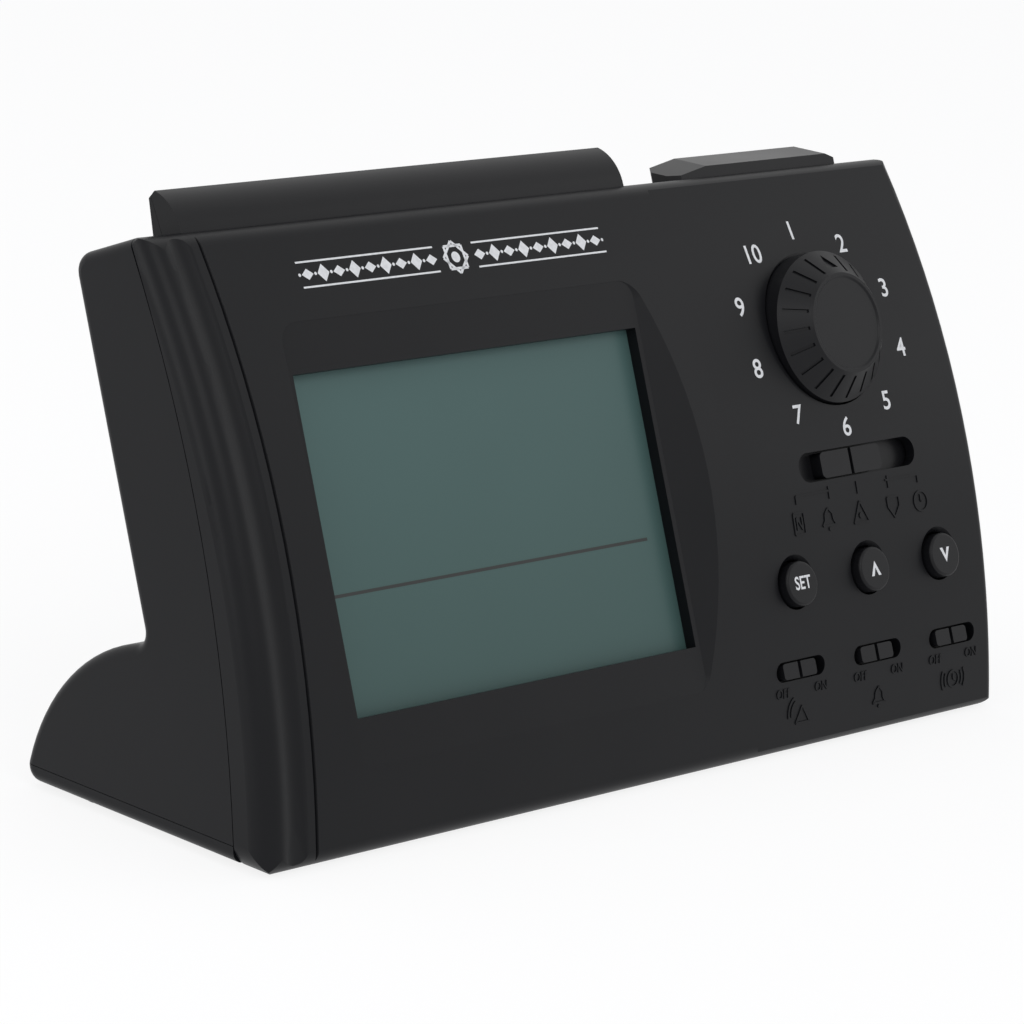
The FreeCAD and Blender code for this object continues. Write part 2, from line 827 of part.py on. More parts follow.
def build_knob():
    """A hollow turned knob: skirt, cone with marks and a dished cap."""
    front = knob_face_w - knob_height
    shoulder = knob_face_w - knob_side
    back = knob_pocket_w() - knob_gap
    cap = knob_cap_radius
    profile = [(0, front + knob_cap_dish), (cap - knob_cap_rim - knob_cap_chamfer, front + knob_cap_dish),
               (cap - knob_cap_rim, front), (cap, front), (knob_radius, shoulder),
               (knob_radius, back), (knob_radius - knob_skirt_wall, back),
               (knob_radius - knob_skirt_wall, shoulder + 1.0), (cap - 0.6, front + knob_roof),
               (knob_hub_radius, front + knob_roof), (knob_hub_radius, back), (shaft_radius + bore_fit, back),
               (shaft_radius + bore_fit, front + knob_bore_roof), (0, front + knob_bore_roof)]
    points = [Vector(knob_x + r, w, knob_v) for r, w in profile]
    outline = Part.Face(Part.makePolygon(points + [points[0]]))
    body = outline.revolve(Vector(knob_x, 0, knob_v), Vector(0, 1, 0), 360)
    if body.Volume < 0:
        body.reverse()

    depth = knob_mark_depth
    slope = (shoulder - front) / (knob_radius - cap)
    inner_r = cap + 0.5
    outer_r = knob_radius - 0.6
    band = [(inner_r, front + slope * (inner_r - cap) + depth), (inner_r, front - 2.0),
            (outer_r, front - 2.0), (outer_r, front + slope * (outer_r - cap) + depth)]
    band_points = [Vector(knob_x + r, w, knob_v) for r, w in band]
    ring = Part.Face(Part.makePolygon(band_points + [band_points[0]]))
    ring = ring.revolve(Vector(knob_x, 0, knob_v), Vector(0, 1, 0), 360)
    if ring.Volume < 0:
        ring.reverse()
    marks = []
    count = round(360 / knob_mark_step)
    for i in range(1, count):
        slab = Part.makeBox(knob_mark_width, 20, knob_radius + 2,
                            Vector(knob_x - knob_mark_width / 2, front - 3, knob_v))
        slab.rotate(Vector(knob_x, 0, knob_v), Vector(0, 1, 0), i * knob_mark_step)
        marks.append(ring.common(slab))
    tip = knob_v + outer_r - 0.2
    foot = knob_v + inner_r + 0.5
    point = Vector(knob_x, front - 3, tip)
    left_foot = Vector(knob_x - knob_pointer_half, front - 3, foot)
    right_foot = Vector(knob_x + knob_pointer_half, front - 3, foot)
    pointer = Part.makePolygon([point, left_foot, right_foot, point])
    marks.append(ring.common(Part.Face(pointer).extrude(Vector(0, 20, 0))))
    return body.cut(marks)


def build_shaft():
    front = knob_face_w - knob_height + knob_bore_roof + press_gap
    seat = board_w - selector_height
    return face_cylinder(knob_x, knob_v, shaft_radius, front, seat + shaft_bite)


def build_selector():
    """The rotary switch that the knob's shaft turns in."""
    seat = board_w - selector_height
    half = selector_size / 2
    body = face_box(knob_x - half, knob_x + half, seat, board_w - press_gap, knob_v - half, knob_v + half)
    body = body.fuse(face_cylinder(knob_x, knob_v, shaft_radius + selector_neck_wall,
                                   seat - selector_neck, seat + 1.0))
    return body.cut(face_cylinder(knob_x, knob_v, shaft_radius + shaft_fit,
                                  seat - 2.0, seat + shaft_bite + 0.1))


def build_slider(x, v, length, slot_height, top_w, flange_x, flange_length):
    """A slider: two pads with a notch between them, a flange behind the face and a stem."""
    height = slot_height - 2 * slider_side_gap
    inner = max(face_w(v - slot_height) + wall, face_w(v + slot_height) + wall)
    flange_w = inner + slip
    block = face_box(x - length / 2, x + length / 2, top_w, flange_w + slider_flange,
                     v - height / 2, v + height / 2)
    upright = [edge for edge in block.Edges if edge.BoundBox.YLength > 1.0]
    block = block.makeFillet(height * slider_corner_share, upright)
    notch = face_box(x - slider_notch / 2, x + slider_notch / 2, top_w - 1.0,
                     top_w + slider_notch_depth, v - height, v + height)
    flange = face_box(flange_x - flange_length / 2, flange_x + flange_length / 2, flange_w,
                      flange_w + slider_flange, v - slot_height / 2 - slider_flange_lip,
                      v + slot_height / 2 + slider_flange_lip)
    stem_end = board_w - switch_height + slider_stem_bite
    stem = face_box(x - slider_stem / 2, x + slider_stem / 2, flange_w, stem_end,
                    v - slider_stem / 2, v + slider_stem / 2)
    return block.cut(notch).fuse([flange, stem]).removeSplitter()


def build_switch(x, v, low, high, width):
    """A slide switch on the board, with a slot for the stem's travel."""
    stem_room = slider_stem / 2 + slip
    front = board_w - switch_height
    left = x + low - stem_room - switch_slot_wall
    right = x + high + stem_room + switch_slot_wall
    body = face_box(left, right, front, board_w - press_gap, v - width / 2, v + width / 2)
    slot = face_box(x + low - stem_room, x + high + stem_room, front - 1.0, front + 2.0,
                    v - slider_stem / 2 - slip, v + slider_stem / 2 + slip)
    return body.cut(slot)


def build_button(x):
    surface = face_w(button_v)
    top_w = surface - button_proud
    inner = max(face_w(button_v - 4.5), face_w(button_v + 4.5)) + wall
    flange_w = inner + slip
    cap = face_cylinder(x, button_v, button_radius, top_w, flange_w + button_flange_height)
    rim = [edge for edge in cap.Edges if abs(edge.BoundBox.YMax - top_w) < 0.01]
    cap = cap.makeFillet(button_cap_round, rim)
    flange = face_cylinder(x, button_v, button_hole_radius + button_flange, flange_w,
                           flange_w + button_flange_height)
    stem_end = board_w - tact_height - tact_plunger_height - button_travel - 0.1
    stem = face_cylinder(x, button_v, button_stem_radius, flange_w, stem_end)
    return cap.fuse([flange, stem]).removeSplitter()


def tact_switch(x, v, seat_w):
    """A small push switch standing on a board whose front is at seat_w."""
    half = tact_size / 2
    body = face_box(x - half, x + half, seat_w - tact_height, seat_w, v - half, v + half)
    plunger = face_cylinder(x, v, tact_plunger_radius, seat_w - tact_height - tact_plunger_height,
                            seat_w - tact_height)
    return body.fuse(plunger)


def build_snooze_bar():
    """The curved front shell of the bar, its flange and its two press pins."""
    low = inner_top_v - slip - top_flange
    whole = prism(bar_outline(bar_left, 0.0, low), bar_length)
    split_foot = bar_front_w + bar_split_foot
    split_points = [Vector(bar_left - 1, split_foot, low - 1.0),
                    Vector(bar_left - 1, split_foot, top_v),
                    Vector(bar_left - 1, bar_crest_w + 1.0, top_v + bar_height - 0.6),
                    Vector(bar_left - 1, bar_crest_w + 1.0, top_v + bar_height + 3.0),
                    Vector(bar_left - 1, bar_back_w + 4.0, top_v + bar_height + 3.0),
                    Vector(bar_left - 1, bar_back_w + 4.0, low - 1.0)]
    behind = Part.Face(Part.makePolygon(split_points + [split_points[0]]))
    behind = behind.extrude(Vector(bar_length + 2, 0, 0))
    front = whole.cut(behind)
    back = whole.common(behind)
    flange = face_box(bar_left - top_flange_lip, bar_left + bar_length + top_flange_lip,
                      bar_front_w + 0.6, bar_back_w + top_flange_lip, low, low + top_flange)
    below = face_box(bar_left - 5, bar_left + bar_length + 5, bar_front_w, bar_back_w + 3.0, low - 1.0,
                     low + top_flange)
    back = back.cut(below)
    front = front.fuse(flange)
    for x in bar_presses:
        front = front.fuse(face_cylinder_up(x, top_board_front + top_board_depth / 2, pin_radius,
                                            pin_foot_v(), low + top_flange / 2))
    gap = press_gap
    back.translate(Vector(0, gap, 0))
    return front.removeSplitter(), back.removeSplitter()


def face_cylinder_up(x, w, radius, v0, v1):
    """A cylinder that runs up the face."""
    return Part.makeCylinder(radius, v1 - v0, Vector(x, w, v0), Vector(0, 0, 1))


def build_light_key():
    """A long key with cut corners, a level top and sloping ends."""
    low = inner_top_v - slip - top_flange
    left = key_left
    right = key_right
    front = key_front_w
    back = key_back_w
    cut = key_corner
    rise = key_depth * lean_sin / lean_cos
    plan = [Vector(left + cut, front, low), Vector(right - cut, front, low), Vector(right, front + cut, low),
            Vector(right, back - cut, low), Vector(right - cut, back, low), Vector(left + cut, back, low),
            Vector(left, back - cut, low), Vector(left, front + cut, low)]
    tall = top_v + key_height + rise + 1.0
    body = Part.Face(Part.makePolygon(plan + [plan[0]])).extrude(Vector(0, 0, tall - low))
    high = top_v + key_height
    over = 10.0
    left_run = left + key_left_slope
    right_run = right - key_right_slope
    ends = [Vector(left, front, high - key_end_drop), Vector(left_run, front, high),
            Vector(right_run, front, high), Vector(right, front, high - key_end_drop),
            Vector(right, front, high + over), Vector(left, front, high + over)]
    lid = Part.Face(Part.makePolygon(ends + [ends[0]])).extrude(Vector(0, 3 * key_depth, 0))
    lid.translate(Vector(0, -key_depth, 0))
    lid.rotate(Vector(0, front, high), x_axis, lean)
    body = body.cut(lid)
    flange = face_box(left - top_flange_lip, right + top_flange_lip, front - top_clearance,
                      back + top_flange_lip, low, low + top_flange)
    pin = face_cylinder_up(key_middle, top_board_front + top_board_depth / 2, pin_radius,
                           pin_foot_v(), low + top_flange / 2)
    return body.fuse([flange, pin]).removeSplitter()


def pin_foot_v():
    """Height of the press pins' feet above the upper board."""
    return top_board_v + tact_height + tact_plunger_height + top_travel + pin_gap


def top_tacts():
    """Push switches on the upper board, under the bar and the key."""
    switches = []
    w = top_board_front + top_board_depth / 2
    half = tact_size / 2
    for x in bar_presses + [key_middle]:
        body = face_box(x - half, x + half, w - half, w + half,
                        top_board_v, top_board_v + tact_height)
        plunger = face_cylinder_up(x, w, tact_plunger_radius, top_board_v + tact_height,
                                   top_board_v + tact_height + tact_plunger_height)
        switches.append(lean_back(body.fuse(plunger)))
    return switches


def build_display():
    half_w = lcd_width / 2 + glass_border
    half_v = lcd_height / 2 + glass_border
    keep("lcd_glass", lean_back(face_box(lcd_x - half_w, lcd_x + half_w, glass_w,
                                         glass_w + glass_thickness, -half_v, half_v)))
    strip = zebra_height
    light_low = -half_v + strip + zebra_space
    keep("backlight", lean_back(face_box(lcd_x - half_w, lcd_x + half_w, light_w,
                                         light_w + light_thickness, light_low, half_v)))
    zebra_low = -half_v + zebra_edge
    zebra = face_box(lcd_x - half_w + zebra_inset, lcd_x + half_w - zebra_inset, light_w,
                     board_w - press_gap, zebra_low, zebra_low + strip)
    keep("zebra_strip", lean_back(zebra))
    out_w = half_w + holder_wall
    out_v = half_v + holder_wall
    frame = face_box(lcd_x - out_w, lcd_x + out_w, wall + press_gap, board_w - press_gap, -out_v, out_v)
    hole = face_box(lcd_x - half_w - press_gap, lcd_x + half_w + press_gap, 0, board_w + 1,
                    -half_v - press_gap, half_v + press_gap)
    ledge = face_box(lcd_x - half_w + holder_ledge, lcd_x + half_w - holder_ledge,
                     light_w + light_thickness + press_gap, board_w - press_gap,
                     light_low + holder_ledge, half_v - holder_ledge)
    plate = face_box(lcd_x - half_w - 0.5, lcd_x + half_w + 0.5, light_w + light_thickness + press_gap,
                     board_w - press_gap, light_low, half_v + 0.5)
    keep("lcd_holder", lean_back(frame.cut(hole).fuse(plate.cut(ledge)).removeSplitter()))


def build_boards():
    board = face_box(board_left, board_right, board_w, board_back_w, board_bottom, board_top)
    holes = [face_cylinder(x, v, screw_radius + 0.1, 0, 20) for x, v in board_screw_places]
    holes += [face_cylinder(x, v, case_boss_radius + 0.5, 0, 20) for x, v in case_screw_places]
    keep("main_board", lean_back(board.cut(holes)))
    strip = face_box(top_board_left, top_board_right, top_board_front,
                     top_board_back, top_board_v - board_thickness, top_board_v)
    keep("top_board", lean_back(strip))
    screws = []
    for x, v in board_screw_places:
        shank = face_cylinder(x, v, screw_radius - 0.02, board_w - screw_bite + 0.2, board_back_w + 0.5)
        head = face_cylinder(x, v, screw_head_radius, board_back_w + 0.02,
                             board_back_w + screw_head_height)
        cross_w = board_back_w + screw_head_height - board_cross_depth
        cross = face_box(x - board_cross_reach, x + board_cross_reach, cross_w, cross_w + 5.0,
                         v - board_cross_half, v + board_cross_half)
        screws.append(lean_back(shank.fuse(head).cut(cross)))
    keep("board_screws", group(screws))


def build_case_screws():
    screws = []
    seat = back_w - case_screw_head - case_screw_sunk
    slot_w = seat + case_screw_head - case_cross_depth
    for x, v in case_screw_places:
        shank = face_cylinder(x, v, case_screw_radius - 0.03, board_w - case_screw_bite + 0.3, seat + 0.5)
        head = face_cylinder(x, v, case_screw_head_radius, seat + 0.02, seat + case_screw_head)
        slot_a = face_box(x - case_cross_reach, x + case_cross_reach, slot_w, slot_w + 5.0,
                          v - case_cross_half, v + case_cross_half)
        slot_b = face_box(x - case_cross_half, x + case_cross_half, slot_w, slot_w + 5.0,
                          v - case_cross_reach, v + case_cross_reach)
        screws.append(lean_back(shank.fuse(head).cut([slot_a, slot_b])))
    return group(screws)


def build_speaker():
    back = back_w - wall - press_gap
    front = back - speaker_height + 0.4
    basket = face_cylinder(speaker_x, speaker_v, speaker_radius, front, back)
    hollow = face_cylinder(speaker_x, speaker_v, speaker_radius - speaker_rim, front + basket_floor, back + 1)
    keep("speaker_basket", lean_back(basket.cut(hollow)))
    rim_w = back - basket_floor
    floor_w = front + basket_floor + join_gap
    outer = speaker_radius - speaker_rim - 0.1
    profile = [(outer, rim_w), (outer - 1.5, rim_w), (cone_throat, floor_w + cone_thickness),
               (0, floor_w + cone_thickness), (0, floor_w), (cone_throat + 0.3, floor_w),
               (outer, rim_w - 0.6)]
    points = [Vector(speaker_x + r, w, speaker_v) for r, w in profile]
    cone = Part.Face(Part.makePolygon(points + [points[0]]))
    cone = cone.revolve(Vector(speaker_x, 0, speaker_v), Vector(0, 1, 0), 360)
    if cone.Volume < 0:
        cone.reverse()
    keep("speaker_cone", lean_back(cone))
    keep("speaker_magnet", lean_back(face_cylinder(speaker_x, speaker_v, magnet_radius,
                                                   front - magnet_height, front)))


def battery_rows():
    """Two rows of cells end to end, with a spring and a plate for each row."""
    cells = []
    springs = []
    plates = []
    start = -cell_length - cell_nub
    end = cell_length + cell_nub
    for y in cell_rows:
        for x in (start, 0.0):
            body = Part.makeCylinder(cell_radius, cell_length, Vector(x, y, cell_z), x_axis)
            nub = Part.makeCylinder(cell_nub_radius, cell_nub - 0.05,
                                    Vector(x + cell_length, y, cell_z), x_axis)
            cells.append(body.fuse(nub))
        spring_start = -bay_half + contact_thickness
        springs.append(Part.makeCone(spring_radius, spring_radius - spring_taper, start - spring_start - 0.05,
                                     Vector(spring_start, y, cell_z), x_axis))
        for x in (-bay_half, bay_half - contact_thickness):
            low_corner = Vector(x, y - contact_size / 2, cell_z - contact_size / 2)
            plates.append(Part.makeBox(contact_thickness, contact_size, contact_size, low_corner))
        bump = Part.makeCylinder(contact_bump, bay_half - contact_thickness - end,
                                 Vector(end, y, cell_z), x_axis)
        plates[-1] = plates[-1].fuse(bump)
    return cells, springs, plates


def build_tray():
    """The roofed bay that the cells lie in, open below."""
    inner = cell_radius + tray_clearance
    outer = inner + tray_wall
    length = 2 * (bay_half + tray_end)
    left = -bay_half - tray_end
    shells = [Part.makeCylinder(outer, length, Vector(left, y, cell_z), x_axis) for y in cell_rows]
    low = base_top + slip
    skirts = Part.makeBox(length, cell_pitch_y + 2 * outer, cell_z - low,
                          Vector(left, cell_rows[1] - outer, low))
    roof = shells[0].fuse([shells[1], skirts])
    rooms = [Part.makeCylinder(inner, 2 * bay_half, Vector(-bay_half, y, cell_z), x_axis)
             for y in cell_rows]
    pit = Part.makeBox(2 * bay_half, cell_pitch_y + 2 * inner, cell_z - low + 2,
                       Vector(-bay_half, cell_rows[1] - inner, low - 2))
    roof = roof.cut(rooms + [pit])
    below = Part.makeBox(length + 2, 80, 20, Vector(left - 1, -40, low - 20))
    return roof.cut(below).removeSplitter()


def build_feet():
    feet = []
    for side in (-1, 1):
        foot = Part.makeCylinder(foot_radius, base_z + foot_sunk - 0.02, Vector(side * foot_x, foot_y, 0))
        low = [edge for edge in foot.Edges if edge.BoundBox.ZMax < 0.01]
        feet.append(foot.makeFillet(0.3, low))
    return group(feet)


front_case = build_front_case()
rear_case, rear_plate = build_rear_shells()
keep("front_case", front_case)
keep("rear_case", rear_case)
keep("base_plate", build_base_plate(rear_plate))
keep("battery_door", build_battery_door())
build_display()
build_boards()
keep("case_screws", build_case_screws())
keep("knob", lean_back(build_knob()))
keep("knob_shaft", lean_back(build_shaft()))
keep("selector_switch", lean_back(build_selector()))

mode_top = face_w(mode_v) + mode_sink
mode_here = mode_x + mode_slider_offset
mode_reach = (mode_slot_length - mode_slider_length) / 2 - mode_end_gap
keep("mode_slider", lean_back(build_slider(mode_here, mode_v, mode_slider_length, mode_slot_height,
                                           mode_top, mode_x, mode_flange_length)))
keep("mode_switch", lean_back(build_switch(mode_x, mode_v, -mode_reach, mode_reach, mode_switch_width)))
toggle_reach = (toggle_slot_length - toggle_length) / 2 - toggle_end_gap
for name, x in zip(toggle_names, toggle_places):
    toggle_here = x + toggle_offset
    toggle_top = face_w(toggle_v) - toggle_proud
    keep(name, lean_back(build_slider(toggle_here, toggle_v, toggle_length, toggle_slot_height,
                                      toggle_top, toggle_here, toggle_flange_length)))
    keep(name + "_switch", lean_back(build_switch(x, toggle_v, -toggle_reach, toggle_reach,
                                                  toggle_switch_width)))
for name, x in zip(button_names, button_places):
    keep(name, lean_back(build_button(x)))
keep("button_switches", group([lean_back(tact_switch(x, button_v, board_w - press_gap))
                               for x in button_places]))
bar_front, bar_back = build_snooze_bar()
keep("snooze_bar", lean_back(bar_front))
keep("snooze_bar_back", lean_back(bar_back))
keep("light_key", lean_back(build_light_key()))
keep("top_switches", group(top_tacts()))
build_speaker()
cells, springs, plates = battery_rows()
keep("battery_cells", group(cells))
keep("battery_springs", group(springs))
keep("battery_contacts", group(plates))
keep("battery_tray", build_tray())
keep("rubber_feet", build_feet())

os.makedirs("parts", exist_ok=True)
whole = FreeCAD.BoundBox()
for name, shape in nodes.items():
    if not shape.isValid():
        print("not valid:", name)
    shape.exportStep("parts/%s.step" % name)
    whole.add(shape.BoundBox)
    box = shape.BoundBox
    print("%-20s solids %d  x %.1f %.1f  y %.1f %.1f  z %.1f %.1f" % (
        name, len(shape.Solids), box.XMin, box.XMax, box.YMin, box.YMax, box.ZMin, box.ZMax))
print("whole x %.2f %.2f  y %.2f %.2f  z %.2f %.2f" % (
    whole.XMin, whole.XMax, whole.YMin, whole.YMax, whole.ZMin, whole.ZMax))
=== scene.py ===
import json
import math
import bpy
from mathutils import Matrix, Vector
from mathutils.bvhtree import BVHTree


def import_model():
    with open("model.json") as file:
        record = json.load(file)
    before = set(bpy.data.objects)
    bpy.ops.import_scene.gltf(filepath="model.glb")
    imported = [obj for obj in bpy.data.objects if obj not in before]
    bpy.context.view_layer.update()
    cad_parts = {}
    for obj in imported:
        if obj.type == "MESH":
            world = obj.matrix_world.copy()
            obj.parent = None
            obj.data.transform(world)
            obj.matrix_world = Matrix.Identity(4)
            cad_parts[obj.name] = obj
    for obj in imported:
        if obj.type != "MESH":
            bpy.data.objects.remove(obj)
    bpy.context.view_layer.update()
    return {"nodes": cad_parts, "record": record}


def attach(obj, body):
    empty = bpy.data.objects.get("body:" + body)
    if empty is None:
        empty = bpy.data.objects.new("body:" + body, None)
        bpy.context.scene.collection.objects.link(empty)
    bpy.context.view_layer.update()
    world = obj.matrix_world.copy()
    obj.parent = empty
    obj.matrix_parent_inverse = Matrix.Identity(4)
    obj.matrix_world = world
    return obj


# Looks of the azan clock: camera, light, materials, printing and moulded signs.
# Sizes in the face frame are millimetres: x to the right, v up the face, w into the case.

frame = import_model()
scene = bpy.context.scene
MM = 0.001

LEAN = math.radians(21.0)
FACE_Y = -13.65
FACE_Z = 42.6
FACE_RADIUS = 168.0
FACE_BULGE = 3.1
FACE_APEX_V = 0.4
LCD_X = -25.0
GLASS_W = 2.05
KNOB_X = 51.0
KNOB_V = 20.55
BUTTON_XS = (33.5, 50.9, 68.3)
BUTTON_V = -18.5
BUTTON_PROUD = 1.2
TOGGLE_XS = (33.1, 51.6, 70.1)
PRINT_LIFT = 0.04
FLAT_PRINT_LIFT = 0.03
RELIEF_HEIGHT = 0.16
RELIEF_ROOT = -0.05
PROBE_START = 3.0
PROBE_REACH = 5.0
LINE_STEP = 1.5
SIGN_STROKE = 0.3
LETTER_WEIGHT = 0.05


def world(x, w, v):
    """A point of the face frame, in metres."""
    y = FACE_Y + w * math.cos(LEAN) + v * math.sin(LEAN)
    z = FACE_Z + v * math.cos(LEAN) - w * math.sin(LEAN)
    return Vector((x, y, z)) * MM


OUTWARD = (world(0, -1, 0) - world(0, 0, 0)).normalized()


def face_w(v):
    return FACE_RADIUS - FACE_BULGE - math.sqrt(FACE_RADIUS ** 2 - (v - FACE_APEX_V) ** 2)


def surface_tree(node):
    mesh = frame["nodes"][node].data
    points = [vertex.co.copy() for vertex in mesh.vertices]
    faces = [tuple(polygon.vertices) for polygon in mesh.polygons]
    return BVHTree.FromPolygons(points, faces)


FACE_TREE = surface_tree("front_case")


def on_face(x, v, lift):
    """A point that lies lift above the moulded face at (x, v)."""
    start = world(x, face_w(v) - PROBE_START, v)
    hit = FACE_TREE.ray_cast(start, -OUTWARD, PROBE_REACH * MM)[0]
    if hit is None:
        hit = world(x, face_w(v), v)
    return hit + OUTWARD * lift * MM


# Shader helpers

DARK_UNTIL = 0.35
LIGHT_FROM = 0.65


def new_material(name):
    """A material with its shader, its tree and object coordinates to paint by."""
    material = bpy.data.materials.new(name)
    material.use_nodes = True
    tree = material.node_tree
    tree.nodes.clear()
    output = tree.nodes.new("ShaderNodeOutputMaterial")
    shader = tree.nodes.new("ShaderNodeBsdfPrincipled")
    tree.links.new(shader.outputs["BSDF"], output.inputs["Surface"])
    coords = tree.nodes.new("ShaderNodeTexCoord").outputs["Object"]
    return material, shader, tree, coords


def axis(tree, vector, letter):
    """One coordinate of a vector socket."""
    split = tree.nodes.new("ShaderNodeSeparateXYZ")
    tree.links.new(vector, split.inputs["Vector"])
    return split.outputs[letter]


def noise(tree, coords, scale, detail=2.0):
    texture = tree.nodes.new("ShaderNodeTexNoise")
    texture.inputs["Scale"].default_value = scale
    texture.inputs["Detail"].default_value = detail
    tree.links.new(coords, texture.inputs["Vector"])
    return texture.outputs["Fac"]


def scaled(tree, value, factor):
    """A node that multiplies a value; what it adds is left to the caller."""
    node = tree.nodes.new("ShaderNodeMath")
    node.operation = "MULTIPLY_ADD"
    node.inputs[1].default_value = factor
    tree.links.new(value, node.inputs[0])
    return node


def ramp(tree, value, low, high, start=0.3, end=0.7):
    """A number socket spread between two values."""
    node = tree.nodes.new("ShaderNodeMapRange")
    node.inputs["From Min"].default_value = start
    node.inputs["From Max"].default_value = end
    node.inputs["To Min"].default_value = low
    node.inputs["To Max"].default_value = high
    tree.links.new(value, node.inputs["Value"])
    return node.outputs["Result"]


def paint(tree, shader, value, dark, light):
    """The shader's colour, between two colours."""
    node = tree.nodes.new("ShaderNodeValToRGB")
    node.color_ramp.elements[0].position = DARK_UNTIL
    node.color_ramp.elements[1].position = LIGHT_FROM
    node.color_ramp.elements[0].color = (*dark, 1.0)
    node.color_ramp.elements[1].color = (*light, 1.0)
    tree.links.new(value, node.inputs["Fac"])
    tree.links.new(node.outputs["Color"], shader.inputs["Base Color"])


def roughen(tree, shader, value, low, high):
    """The shader's roughness, between two values."""
    tree.links.new(ramp(tree, value, low, high), shader.inputs["Roughness"])


def bump(tree, shader, height, strength, distance):
    """Fine relief; the distance is in millimetres."""
    node = tree.nodes.new("ShaderNodeBump")
    node.inputs["Strength"].default_value = strength
    node.inputs["Distance"].default_value = distance * MM
    tree.links.new(height, node.inputs["Height"])
    tree.links.new(node.outputs["Normal"], shader.inputs["Normal"])


# Materials

SCRATCH_STRETCH = (1.0, 12.0, 12.0)
LCD_DARK = (0.053, 0.101, 0.094)
LCD_LIGHT = (0.069, 0.128, 0.121)
# Painted light on the display: its colour rises towards its top.
LCD_PAINTED_LIGHT_SLOPE = 6.0
LCD_START = 0.13
LCD_CLOUD = 0.25
LCD_SPECULAR = 0.25
TRACK_SCALE = 160.0
MASK_DARK = (0.012, 0.10, 0.035, 1.0)
MASK_LIGHT = (0.015, 0.13, 0.045, 1.0)
TRACK_GREEN = (0.05, 0.22, 0.09, 1.0)
CELL_HALF_PITCH = 0.0256
BAND_START = 0.0150
BAND_FULL = 0.0154
SLEEVE = (0.02, 0.022, 0.028)
SLEEVE_BAND = (0.42, 0.36, 0.2)
PAPER_DARK = (0.012, 0.012, 0.012)
PAPER_LIGHT = (0.045, 0.043, 0.04)


def plastic(name, dark, light, rough, grain, strength, specular=0.5):
    """Moulded plastic: fine spark grain, cloudy gloss and a slight change of shade."""
    material, shader, tree, coords = new_material(name)
    cloud = noise(tree, coords, scale=38.0, detail=3.0)
    fine = noise(tree, coords, grain)
    paint(tree, shader, cloud, dark, light)
    roughen(tree, shader, cloud, *rough)
    shader.inputs["Specular IOR Level"].default_value = specular
    bump(tree, shader, fine, strength, distance=0.03)
    return material


def metal(name, dark, light, rough, scale):
    """Plated metal with fine scratches and stains."""
    material, shader, tree, coords = new_material(name)
    stretch = tree.nodes.new("ShaderNodeMapping")
    stretch.inputs["Scale"].default_value = SCRATCH_STRETCH
    tree.links.new(coords, stretch.inputs["Vector"])
    scratches = noise(tree, stretch.outputs["Vector"], scale, detail=3.0)
    cloud = noise(tree, coords, scale=60.0)
    paint(tree, shader, cloud, dark, light)
    roughen(tree, shader, scratches, *rough)
    shader.inputs["Metallic"].default_value = 1.0
    bump(tree, shader, scratches, strength=0.15, distance=0.02)
    return material


def display_material():
    """A blank liquid-crystal panel: grey green, with painted light that makes it a little lighter towards
    its top.
    """
    material, shader, tree, coords = new_material("lcd_panel")
    # Painted light: the colour is made lighter towards the top of the panel.
    painted_light_slope = scaled(tree, axis(tree, coords, "Z"), LCD_PAINTED_LIGHT_SLOPE)
    painted_light_slope.inputs[2].default_value = LCD_START
    cloud = noise(tree, coords, scale=22.0)
    mixed = scaled(tree, cloud, LCD_CLOUD)
    tree.links.new(painted_light_slope.outputs["Value"], mixed.inputs[2])
    paint(tree, shader, mixed.outputs["Value"], LCD_DARK, LCD_LIGHT)
    roughen(tree, shader, cloud, low=0.4, high=0.46)
    shader.inputs["Specular IOR Level"].default_value = LCD_SPECULAR
    bump(tree, shader, noise(tree, coords, scale=2600.0, detail=1.0), strength=0.04, distance=0.02)
    return material


def board_material():
    """Green solder mask with copper tracks shining through."""
    material, shader, tree, coords = new_material("board_mask")
    tracks = tree.nodes.new("ShaderNodeTexBrick")
    tracks.inputs["Scale"].default_value = TRACK_SCALE
    tracks.inputs["Color1"].default_value = MASK_DARK
    tracks.inputs["Color2"].default_value = MASK_LIGHT
    tracks.inputs["Mortar"].default_value = TRACK_GREEN
    tree.links.new(coords, tracks.inputs["Vector"])
    tree.links.new(tracks.outputs["Color"], shader.inputs["Base Color"])
    cloud = noise(tree, coords, scale=300.0)
    roughen(tree, shader, cloud, low=0.25, high=0.4)
    bump(tree, shader, cloud, strength=0.1, distance=0.03)
    return material


def cell_material():
    """A printed battery wrap: a dark sleeve with a lighter band at one end."""
    material, shader, tree, coords = new_material("cell_wrap_print")
    wave = tree.nodes.new("ShaderNodeMath")
    wave.operation = "PINGPONG"
    wave.inputs[1].default_value = CELL_HALF_PITCH
    tree.links.new(axis(tree, coords, "X"), wave.inputs[0])
    band = ramp(tree, wave.outputs["Value"], 0.0, 1.0, BAND_START, BAND_FULL)
    paint(tree, shader, band, SLEEVE, SLEEVE_BAND)
    cloud = noise(tree, coords, scale=90.0)
    roughen(tree, shader, cloud, low=0.22, high=0.34)
    bump(tree, shader, cloud, strength=0.05, distance=0.05)
    return material


def cone_material():
    """Pressed speaker paper with fibres."""
    material, shader, tree, coords = new_material("speaker_paper")
    fibres = noise(tree, coords, scale=900.0, detail=5.0)
    paint(tree, shader, fibres, PAPER_DARK, PAPER_LIGHT)
    roughen(tree, shader, fibres, low=0.75, high=0.95)
    bump(tree, shader, fibres, strength=0.5, distance=0.1)
    return material


def ink(name, dark, light):
    """Pad-printed ink: slightly uneven and a little raised."""
    material, shader, tree, coords = new_material(name)
    speckle = noise(tree, coords, scale=1500.0, detail=3.0)
    paint(tree, shader, speckle, dark, light)
    roughen(tree, shader, speckle, low=0.45, high=0.6)
    bump(tree, shader, speckle, strength=0.1, distance=0.02)
    return material


